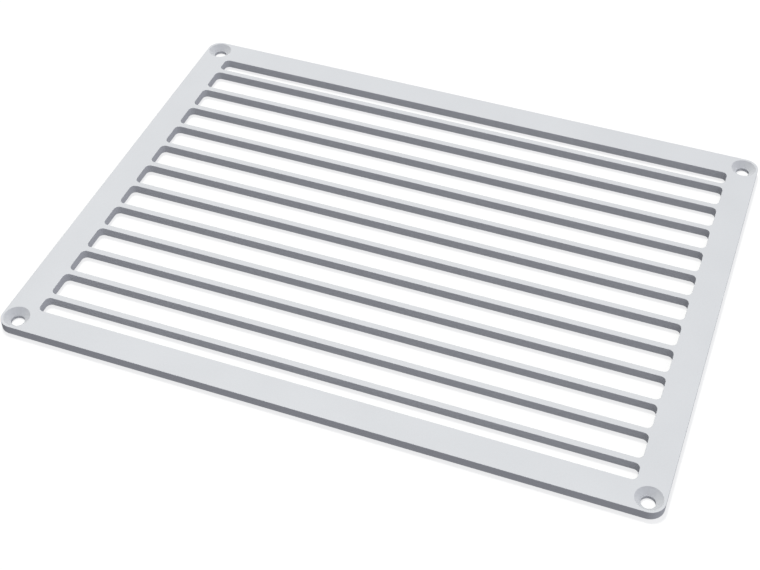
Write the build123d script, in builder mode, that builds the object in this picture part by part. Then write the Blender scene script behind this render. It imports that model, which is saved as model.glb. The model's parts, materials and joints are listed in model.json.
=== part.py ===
from build123d import *
import os
from math import floor

# Slotted wall vent: one flat sheet plate with a window of long straight slots between thin bars,
# and a countersunk screw hole in each corner.
# The plate lies on its back face: X runs along the slots, Y across them, Z out of the front face.
# The origin is the centre of the back face. Sizes are in millimetres and degrees.

# Sheet
plate_length = 205.0  # along the slots
plate_width = 156.0  # across the slots
thickness = 3.0
corner_radius = 4.5
edge_break = 0.1  # chamfer that takes the burr off the cut edges

# Slots and bars
border = 9.4  # plain frame between the plate's edge and the slots
bar_width = 2.0
bar_pitch = 11.225  # from one bar's centre line to the next
slot_corner_radius = 1.7

# Screw holes
screw_hole_diameter = 4.2
countersink_diameter = 8.1
countersink_angle = 90.0
countersink_rim = 0.73  # land between a countersink and the plate's edges

# The window that the slots fill, with one bar for each whole pitch that fits across it.
# The bars are centred, so the first and last slots share what the pitch leaves over,
# and each is at least half as wide as the slots between.
window_length = plate_length - 2 * border
window_width = plate_width - 2 * border
bar_count = floor(window_width / bar_pitch)

# Each screw hole stands as far in from both edges as its countersink needs
hole_inset = countersink_diameter / 2 + countersink_rim
hole_spacing_x = plate_length - 2 * hole_inset
hole_spacing_y = plate_width - 2 * hole_inset

os.makedirs("parts", exist_ok=True)

with BuildPart() as vent_plate:
    # Face of the plate: the blank, its window opened, and the bars laid back across the window
    with BuildSketch() as plate_face:
        RectangleRounded(plate_length, plate_width, corner_radius)
        Rectangle(window_length, window_width, mode=Mode.SUBTRACT)
        with GridLocations(0, bar_pitch, 1, bar_count):
            Rectangle(window_length, bar_width)
        slot_corners = plate_face.face().inner_wires().vertices()
        fillet(slot_corners, slot_corner_radius)
    extrude(amount=thickness)

    # The edges of the outline and of the slots are broken on the back and on the front
    edge_levels = vent_plate.edges().group_by(Axis.Z)
    chamfer(edge_levels[0] + edge_levels[-1], edge_break)

    # Screw holes, countersunk from the front
    with Locations((0, 0, thickness)):
        with GridLocations(hole_spacing_x, hole_spacing_y, 2, 2):
            CounterSinkHole(
                screw_hole_diameter / 2,
                countersink_diameter / 2,
                counter_sink_angle=countersink_angle,
            )

vent_plate.part.label = "vent_plate"
export_step(vent_plate.part, "parts/vent_plate.step")
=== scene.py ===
import bpy
import json
import numpy as np
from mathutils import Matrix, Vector
from mathutils.geometry import tessellate_polygon


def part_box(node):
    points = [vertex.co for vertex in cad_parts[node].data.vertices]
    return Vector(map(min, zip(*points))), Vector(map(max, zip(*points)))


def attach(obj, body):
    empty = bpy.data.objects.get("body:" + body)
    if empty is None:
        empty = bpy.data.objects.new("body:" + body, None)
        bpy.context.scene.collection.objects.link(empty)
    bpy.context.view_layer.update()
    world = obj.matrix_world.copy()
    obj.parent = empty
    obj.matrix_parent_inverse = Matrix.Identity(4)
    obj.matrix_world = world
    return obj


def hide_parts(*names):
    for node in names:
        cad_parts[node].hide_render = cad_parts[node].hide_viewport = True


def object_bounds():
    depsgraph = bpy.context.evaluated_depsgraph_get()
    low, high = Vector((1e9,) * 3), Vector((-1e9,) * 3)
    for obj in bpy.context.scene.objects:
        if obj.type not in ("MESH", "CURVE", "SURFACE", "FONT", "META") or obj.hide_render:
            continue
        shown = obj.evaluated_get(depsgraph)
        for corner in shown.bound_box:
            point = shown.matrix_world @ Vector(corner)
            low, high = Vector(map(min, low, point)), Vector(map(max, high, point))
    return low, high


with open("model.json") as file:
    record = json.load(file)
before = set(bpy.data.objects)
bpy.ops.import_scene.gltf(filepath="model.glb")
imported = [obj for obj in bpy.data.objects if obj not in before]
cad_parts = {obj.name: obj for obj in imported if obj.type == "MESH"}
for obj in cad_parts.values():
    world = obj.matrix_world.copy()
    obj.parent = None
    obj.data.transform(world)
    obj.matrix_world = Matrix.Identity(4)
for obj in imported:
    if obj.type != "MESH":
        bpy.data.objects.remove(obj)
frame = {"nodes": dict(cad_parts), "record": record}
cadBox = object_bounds()  # the solid's own box; its lowest point sets the floor's level
mm = 0.001
quarters = np.array([[1, 1], [-1, 1], [-1, -1], [1, -1]])  # signs of the four corners, anticlockwise
print("frame loaded:", sorted(frame["nodes"]))


# Slotted plate: stands for the solid with finer arcs and softly rounded edges
plate = {
    "node": "vent_plate",
    "mount": "screw_holes",  # gives the screw holes' spacing and radius
    "finish": "powder_coat",
    "corner": 4.5 * mm,  # plan radius of the four outer corners
    "border": 9.4 * mm,  # plain frame outside the slots
    "barWidth": 2.0 * mm,
    "barPitch": 11.225 * mm,
    "slotCorner": 1.7 * mm,
    "countersink": 4.05 * mm,  # radius of the cone at the front face
    "coneSlope": 45.0,  # degrees between the cone and the hole's axis
    "edgeRound": 0.1 * mm,  # cut edges, broken and coated
    "rimRound": 0.05 * mm,  # edges of the screw holes
    "cornerSteps": 12,  # segments in a quarter turn
    "holeSteps": 72,  # segments round a screw hole
    "roundSteps": 4,  # segments across a rounded edge
}


def roundedOutline(width, height, radius, steps):
    # four quarter turns joined by straight runs: corner centre + radius * (cos a, sin a), anticlockwise
    a = np.linspace(0, np.pi / 2, steps + 1) + np.arange(4)[:, None] * np.pi / 2
    away = np.stack([np.cos(a), np.sin(a)], -1)
    centre = quarters * (np.array([width, height]) / 2 - radius)
    return (centre[:, None] + radius * away).reshape(-1, 2), away.reshape(-1, 2)


def circleOutline(radius, steps):
    # radius * (cos a, sin a), once round, anticlockwise
    a = np.arange(steps) * 2 * np.pi / steps
    away = np.stack([np.cos(a), np.sin(a)], -1)
    return radius * away, away


def asOpening(outline, centre):
    # the same outline about a centre, run clockwise and facing its own middle: the solid lies outside it
    path, away = outline
    return path[::-1] + centre, -away[::-1]


def edgeProfile(corners, facing, radius, steps):
    # section through an edge, as (out, height): each corner becomes an arc tangent to the runs beside it,
    # centre + radius * (cos a, sin a), with a turning from one run's facing angle to the next;
    # the centre is the corner - radius * (first + last) / (1 + first . last), from the two runs' normals
    facing = np.radians(facing)
    a = facing[:-1, None] + np.diff(facing)[:, None] * np.linspace(0, 1, steps + 1)
    normal = np.stack([np.cos(a), np.sin(a)], -1)
    first, last = normal[:, 0], normal[:, -1]
    centre = corners - radius * (first + last) / (1 + np.sum(first * last, -1, keepdims=True))
    return (centre[:, None] + radius * normal).reshape(-1, 2), normal.reshape(-1, 2)


def carryProfile(outline, profile):
    # every profile point at every path point: path + out * away, at the profile's height;
    # the normal leans the same way, away * normal's out, with the normal's rise
    path, away = outline
    section, normal = profile
    plan = path + section[:, None, :1] * away
    lean = normal[:, None, :1] * away
    height = np.broadcast_to(section[:, None, 1:], plan[..., :1].shape)
    rise = np.broadcast_to(normal[:, None, 1:], plan[..., :1].shape)
    return np.concatenate([plan, height], -1), np.concatenate([lean, rise], -1)


def wallFaces(ids):
    # quads between neighbouring rings, closed round the path
    onward = np.roll(ids, -1, axis=1)
    return np.stack([ids[:-1], ids[1:], onward[1:], onward[:-1]], -1).reshape(-1, 4)


def flatFaces(rings, ids, up):
    # triangles over the flat between the outer ring and the openings' rings, turned to face up or down
    corners = np.concatenate(rings)
    triangles = np.array(tessellate_polygon([ring.tolist() for ring in rings]))
    one, two = (corners[triangles[:, k]] - corners[triangles[:, 0]] for k in (1, 2))
    area = one[:, 0] * two[:, 1] - one[:, 1] * two[:, 0]
    wrong = area * up < 0
    triangles[wrong] = triangles[wrong][:, ::-1]
    return np.concatenate(ids)[triangles]


def slotOutlines(length, width):
    # bars centred at one pitch; the slots are the gaps between them, and the end ones take what is left
    windowLength, windowWidth = length - 2 * plate["border"], width - 2 * plate["border"]
    barCount = len(frame["record"]["physics"]["openings"]) - 1  # a bar between each two slots
    barCentres = (np.arange(barCount) - (barCount - 1) / 2) * plate["barPitch"]
    low = np.append(-windowWidth / 2, barCentres + plate["barWidth"] / 2)
    high = np.append(barCentres - plate["barWidth"] / 2, windowWidth / 2)
    return [
        asOpening(roundedOutline(windowLength, gap, plate["slotCorner"], plate["cornerSteps"]), (0, middle))
        for gap, middle in zip(high - low, (low + high) / 2)
    ]


def holeOutlines(dims):
    # one circle of the bore's radius at each corner of the bolt rectangle
    reach = np.array([dims["spacing_x_mm"], dims["spacing_y_mm"]]) * mm / 2
    bore = circleOutline(dims["hole_r_mm"] * mm, plate["holeSteps"])
    return [asOpening(bore, reach * quarter) for quarter in quarters]


def makePlate():
    low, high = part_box(plate["node"])
    length, width, thickness = high - low
    dims = next(m["dims"] for m in frame["record"]["mounts"] if m["name"] == plate["mount"])
    flare = plate["countersink"] - dims["hole_r_mm"] * mm  # the cone's spread beyond the bore
    coneFoot = thickness - flare / np.tan(np.radians(plate["coneSlope"]))

    # sections, from the front face to the back face; facing angles run from straight up to straight down
    cutEdge = edgeProfile(
        np.array([[0, thickness], [0, 0]]), [90, 0, -90], plate["edgeRound"], plate["roundSteps"]
    )
    screwHole = edgeProfile(
        np.array([[-flare, thickness], [0, coneFoot], [0, 0]]),
        [90, plate["coneSlope"], 0, -90],
        plate["rimRound"],
        plate["roundSteps"],
    )
    outer = roundedOutline(length, width, plate["corner"], plate["cornerSteps"])
    walls = [carryProfile(outline, cutEdge) for outline in (outer, *slotOutlines(length, width))]
    walls += [carryProfile(outline, screwHole) for outline in holeOutlines(dims)]

    # one run of vertices for each wall, then the quads of the walls and the two flats that join them
    sizes = [points.shape[0] * points.shape[1] for points, _ in walls]
    starts = np.cumsum([0] + sizes[:-1])
    ids = [s + np.arange(n).reshape(p.shape[:2]) for s, n, (p, _) in zip(starts, sizes, walls)]
    faces = [wallFaces(grid) for grid in ids]
    for ring, up in ((0, 1), (-1, -1)):
        faces.append(flatFaces([p[ring] for p, _ in walls], [grid[ring] for grid in ids], up))
    points = np.concatenate([p.reshape(-1, 3) for p, _ in walls])
    normals = np.concatenate([n.reshape(-1, 3) for _, n in walls])

    mesh = bpy.data.meshes.new("slotted_plate")
    mesh.from_pydata(points.tolist(), [], [f for group in faces for f in group.tolist()], shade_flat=False)
    mesh.normals_split_custom_set_from_vertices(normals.tolist())
    mesh.validate()
    piece = bpy.data.objects.new("slotted_plate", mesh)
    bpy.context.scene.collection.objects.link(piece)
    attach(piece, "root")
    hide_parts(plate["node"])
    print("plate:", len(points), "points,", len(mesh.polygons), "faces")
    return piece


class Patch:
    # one socket of a node tree; arithmetic on it adds Math nodes
    def __init__(self, tree, socket=None):
        self.tree = tree
        self.socket = socket

    def node(self, kind, settings=None, inputs=None, output=0):
        made = self.tree.nodes.new(kind)
        for name, value in (settings or {}).items():
            setattr(made, name, value)
        for name, value in (inputs or {}).items():
            if isinstance(value, Patch):
                self.tree.links.new(value.socket, made.inputs[name])
            else:
                made.inputs[name].default_value = value
        return Patch(self.tree, made.outputs[output]) if made.outputs else made

    def maths(self, operation, first, second):
        return self.node("ShaderNodeMath", {"operation": operation}, {0: first, 1: second})

    def __add__(self, other):
        return self.maths("ADD", self, other)

    def __radd__(self, other):
        return self.maths("ADD", other, self)

    def __sub__(self, other):
        return self.maths("SUBTRACT", self, other)

    def __rsub__(self, other):
        return self.maths("SUBTRACT", other, self)

    def __mul__(self, other):
        return self.maths("MULTIPLY", self, other)

    def __rmul__(self, other):
        return self.maths("MULTIPLY", other, self)


# Powder coat: satin light grey, with the fine orange peel of sprayed and baked powder
coat = {
    "pale": (0.664, 0.676, 0.696, 1),
    "dark": (0.564, 0.576, 0.596, 1),
    "cloudScale": 45,  # per metre: slow drift of tone over the sheet
    "cloudDetail": 2,  # octaves in the drift
    "grainScale": 5200,  # single grains of powder
    "grainShare": 0.5,  # how much of the tone is the grains', beside the drift
    "peelScale": 2400,  # orange peel, under half a millimetre from crest to crest
    "fineDetail": 1,  # octaves in the grain and in the peel
    "roughness": 0.58,
    "roughSpread": 0.10,
    "peelDepth": 0.034 * mm,
    "grainDepth": 0.010 * mm,
}


def powderCoat():
    material = bpy.data.materials.new("powder_coat")
    material.use_nodes = True
    tree = material.node_tree
    tree.nodes.clear()
    start = Patch(tree)
    place = start.node("ShaderNodeTexCoord", output="Object")

    def noise(scale, detail):
        sockets = {"Vector": place, "Scale": scale, "Detail": detail}
        return start.node("ShaderNodeTexNoise", None, sockets, "Fac")

    cloud = noise(coat["cloudScale"], coat["cloudDetail"])
    grain = noise(coat["grainScale"], coat["fineDetail"])
    peel = noise(coat["peelScale"], coat["fineDetail"])
    tone = (1 - coat["grainShare"]) * cloud + coat["grainShare"] * grain
    tones = {0: tone, 6: coat["dark"], 7: coat["pale"]}  # 6 and 7 are the Mix node's colours
    colour = start.node("ShaderNodeMix", {"data_type": "RGBA"}, tones, 2)
    rough = coat["roughness"] + (peel - 0.5) * coat["roughSpread"]  # the noise averages 0.5
    height = peel * coat["peelDepth"] + grain * coat["grainDepth"]
    relief = start.node("ShaderNodeBump", None, {"Strength": 1.0, "Distance": 1.0, "Height": height})
    surface = start.node(
        "ShaderNodeBsdfPrincipled", None, {"Base Color": colour, "Roughness": rough, "Normal": relief}
    )
    start.node("ShaderNodeOutputMaterial", None, {"Surface": surface})
    print("powder coat made")
    return material


# Studio: white floor, one soft key lamp high behind on the left, and a dome that fills the rest
studio = {
    "floorSize": 8.0,
    "floorColour": (0.31, 0.31, 0.31, 1),
    "floorGlow": 0.695,  # most of the floor's white is its own light, so shadows on it stay faint
    "keyAzimuth": 213.0,  # degrees, from straight in front towards +X
    "keyElevation": 62.0,
    "keySpread": 10.0,  # degrees across the lamp, which softens the shadows' edges
    "keyPower": 1.87,
    "keyTint": (1.0, 1.0, 0.92),
    "ambient": 0.127,  # light from all round
    "topFill": 0.56,  # extra light from overhead
    "sideFill": 0.40,  # extra light from +X
    "domeTint": (0.99, 1.0, 1.085, 1),
    "white": (1, 1, 1, 1),
}


def bearing(azimuth, elevation):
    # unit vector (sin a * cos e, -cos a * cos e, sin e), from the object towards a lamp or the camera
    a, e = np.radians([azimuth, elevation])
    return Vector((np.sin(a) * np.cos(e), -np.cos(a) * np.cos(e), np.sin(e)))


def makeFloor(level):
    corners = quarters * studio["floorSize"] / 2
    mesh = bpy.data.meshes.new("floor")
    mesh.from_pydata(np.column_stack([corners, np.full(4, level)]).tolist(), [], [[0, 1, 2, 3]])
    material = bpy.data.materials.new("floor")
    material.use_nodes = True
    tree = material.node_tree
    tree.nodes.clear()
    start = Patch(tree)
    sockets = {
        "Base Color": studio["floorColour"],
        "Roughness": 1.0,
        "Specular IOR Level": 0.0,
        "Emission Color": studio["white"],
        "Emission Strength": studio["floorGlow"],
    }
    surface = start.node("ShaderNodeBsdfPrincipled", None, sockets)
    start.node("ShaderNodeOutputMaterial", None, {"Surface": surface})
    mesh.materials.append(material)
    floor = bpy.data.objects.new("floor", mesh)
    bpy.context.scene.collection.objects.link(floor)
    floor.visible_diffuse = False  # the floor catches shadows but throws no light back up
    floor.visible_glossy = False
    floor.visible_shadow = False
    print("floor laid")


def makeKey():
    toward = bearing(studio["keyAzimuth"], studio["keyElevation"])
    lamp = bpy.data.lights.new("key", "SUN")
    lamp.energy = studio["keyPower"]
    lamp.color = studio["keyTint"]
    lamp.angle = np.radians(studio["keySpread"])
    key = bpy.data.objects.new("key", lamp)
    key.rotation_euler = toward.to_track_quat("Z", "Y").to_euler()
    bpy.context.scene.collection.objects.link(key)
    print("key lamp hung")


def makeDome():
    world = bpy.data.worlds.new("studio")
    bpy.context.scene.world = world
    world.use_nodes = True
    tree = world.node_tree
    tree.nodes.clear()
    start = Patch(tree)
    toward = start.node("ShaderNodeTexCoord", output="Generated")

    def facing(side):
        # how squarely the dome's patch lies to that side, and nothing on the far side
        sockets = {0: toward, 1: side}
        along = start.node("ShaderNodeVectorMath", {"operation": "DOT_PRODUCT"}, sockets, "Value")
        return start.maths("MAXIMUM", along, 0.0)

    fromTop = facing((0, 0, 1)) * studio["topFill"]
    fromRight = facing((1, 0, 0)) * studio["sideFill"]
    glow = studio["ambient"] + fromTop + fromRight
    light = start.node("ShaderNodeBackground", None, {"Color": studio["domeTint"], "Strength": glow})
    backdrop = start.node("ShaderNodeBackground", None, {"Color": studio["white"], "Strength": 1.0})
    seen = start.node("ShaderNodeLightPath", output="Is Camera Ray")
    both = start.node("ShaderNodeMixShader", None, {0: seen, 1: light, 2: backdrop})
    start.node("ShaderNodeOutputWorld", None, {"Surface": both})
    print("dome lit")


# Camera: the photograph's viewpoint
view = {
    "lookAt": (0.30 * mm, -19.46 * mm, 0.0),
    "azimuth": 20.301,  # degrees, from straight in front towards +X
    "elevation": 45.109,
    "distance": 437.2 * mm,
    "lens": 65.89,  # millimetres, as Blender's lenses and sensors are
    "sensorWidth": 36,
    "nearClip": 10 * mm,
}


def makeCamera():
    back = bearing(view["azimuth"], view["elevation"])
    camera = bpy.data.objects.new("camera", bpy.data.cameras.new("camera"))
    bpy.context.scene.collection.objects.link(camera)
    camera.data.sensor_fit = "HORIZONTAL"
    camera.data.sensor_width = view["sensorWidth"]
    camera.data.lens = view["lens"]
    camera.data.clip_start = view["nearClip"]
    camera.location = Vector(view["lookAt"]) + back * view["distance"]
    camera.rotation_euler = (-back).to_track_quat("-Z", "Y").to_euler()
    bpy.context.scene.camera = camera
    print("camera placed")


slottedPlate = makePlate()
slottedPlate.data.materials.append(powderCoat())
makeFloor(cadBox[0].z)
makeKey()
makeDome()
makeCamera()
bpy.context.scene.view_settings.view_transform = "Standard"  # tones as lit, with no film curve
